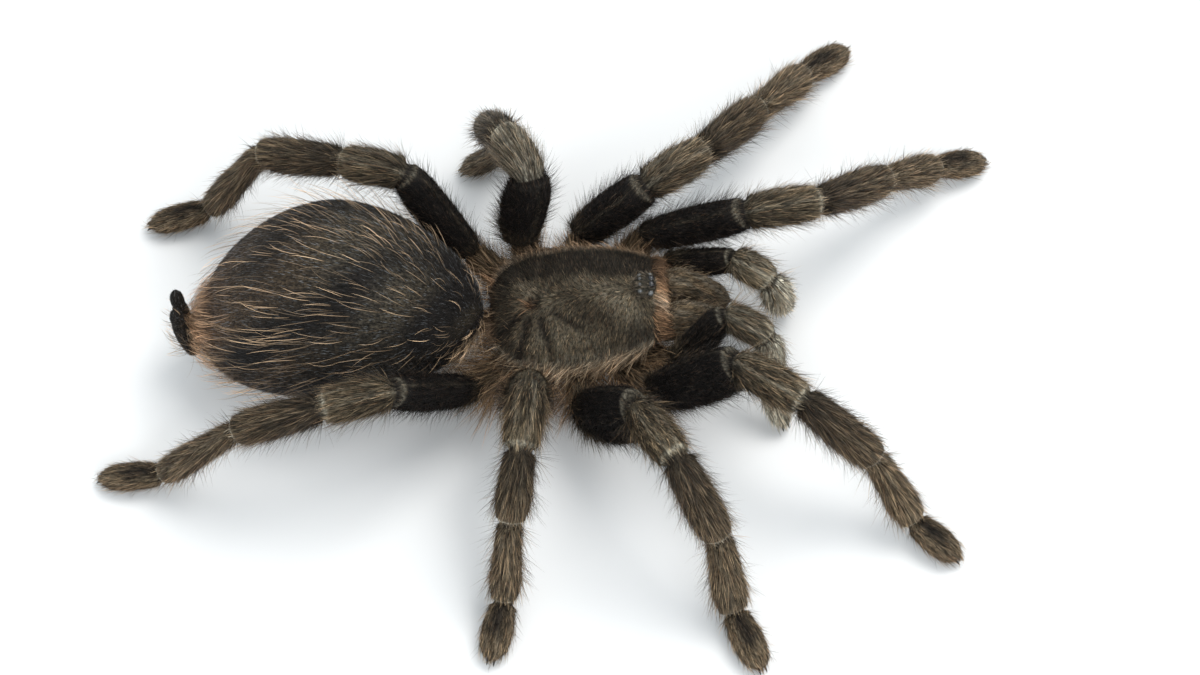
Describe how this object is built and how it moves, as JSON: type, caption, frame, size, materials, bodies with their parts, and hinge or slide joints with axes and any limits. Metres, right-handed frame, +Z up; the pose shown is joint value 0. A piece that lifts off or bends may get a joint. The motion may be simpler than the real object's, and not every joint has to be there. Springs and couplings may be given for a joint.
{
  "type": "tarantula",
  "caption": "Tarantula standing still: domed carapace with eye mound, egg-shaped abdomen with spinnerets, jaws with fangs, palps and spread jointed legs on flat soles.",
  "frame": {"origin": "the middle of the animal's reach, on the floor: the centre of the underside of its bounding box", "axes": "the head faces -Y and the abdomen +Y, the animal's left side is +X, +Z is up from the floor"},
  "size_m": [0.0886, 0.113, 0.0269],
  "materials": {
    "carapace": "domed shell under a short flat olive-brown coat, rough",
    "body": "dark brown hairy underside, coxae, waist and spinnerets, rough",
    "abdomen": "dark velvet coat with long rusty hairs, rough",
    "thigh": "near-black velvet coat, rough",
    "shank": "olive-brown coat with paler stripes lengthwise and pale rings at the joints, rough",
    "foot": "brown coat, pale ring at the metatarsus's end, rough",
    "jaw": "dark brown coat with sparse pale hairs, rough",
    "fang": "bare black horn, glossy",
    "eyes": "bare dark mound and eyes, glossy"
  },
  "bodies": {
    "root": {"abdomen": "abdomen", "carapace": "carapace", "chelicera_left": "jaw", "chelicera_right": "jaw", "eye_tubercle": "eyes", "fang_left": "fang", "fang_right": "fang", "leg_1_left_coxa": "body", "leg_1_left_femur": "thigh", "leg_1_left_foot": "foot", "leg_1_left_patella": "shank", "leg_1_left_tibia": "shank", "leg_1_right_coxa": "body", "leg_1_right_femur": "thigh", "leg_1_right_foot": "foot", "leg_1_right_patella": "shank", "leg_1_right_tibia": "shank", "leg_2_left_coxa": "body", "leg_2_left_femur": "thigh", "leg_2_left_foot": "foot", "leg_2_left_patella": "shank", "leg_2_left_tibia": "shank", "leg_2_right_coxa": "body", "leg_2_right_femur": "thigh", "leg_2_right_foot": "foot", "leg_2_right_patella": "shank", "leg_2_right_tibia": "shank", "leg_3_left_coxa": "body", "leg_3_left_femur": "thigh", "leg_3_left_foot": "foot", "leg_3_left_patella": "shank", "leg_3_left_tibia": "shank", "leg_3_right_coxa": "body", "leg_3_right_femur": "thigh", "leg_3_right_foot": "foot", "leg_3_right_patella": "shank", "leg_3_right_tibia": "shank", "leg_4_left_coxa": "body", "leg_4_left_femur": "thigh", "leg_4_left_foot": "foot", "leg_4_left_patella": "shank", "leg_4_left_tibia": "shank", "leg_4_right_coxa": "body", "leg_4_right_femur": "thigh", "leg_4_right_foot": "foot", "leg_4_right_patella": "shank", "leg_4_right_tibia": "shank", "palp_left_coxa": "body", "palp_left_femur": "thigh", "palp_left_shank": "shank", "palp_left_tarsus": "foot", "palp_right_coxa": "body", "palp_right_femur": "thigh", "palp_right_shank": "shank", "palp_right_tarsus": "foot", "pedicel": "body", "spinneret_left": "body", "spinneret_right": "body", "sternum": "body"}
  },
  "joints": []
}
